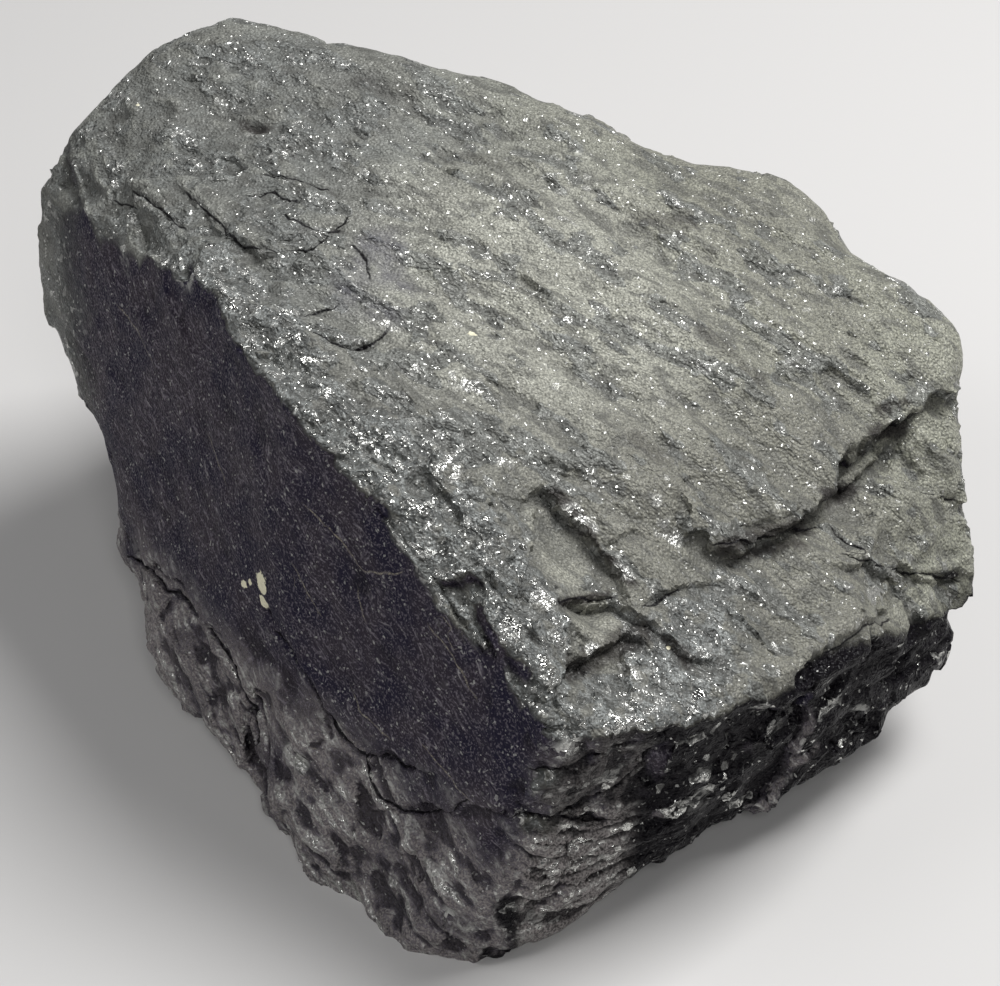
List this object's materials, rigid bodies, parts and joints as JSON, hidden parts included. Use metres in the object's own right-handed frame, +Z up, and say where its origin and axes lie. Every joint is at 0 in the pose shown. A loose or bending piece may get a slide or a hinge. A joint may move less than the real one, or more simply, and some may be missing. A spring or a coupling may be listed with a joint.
{
  "type": "coal lump",
  "caption": "Broken lump of hard bright coal: a sloping block with a stepped top, one smooth long side, rough broken ends and a flat face underneath to rest on.",
  "frame": {"origin": "on the resting face, under the middle of the lump's box", "axes": "+Z up, square to the resting face; +Y to the back, where the top is highest; +X to the right, looking at the front from -Y"},
  "size_m": [0.1866, 0.1852, 0.1064],
  "materials": {
    "coal": "hard bright coal: dull to glossy dark grey, with a fine crystalline sparkle and a dusty film on top"
  },
  "bodies": {
    "root": {"coal_lump": "coal"}
  },
  "joints": []
}
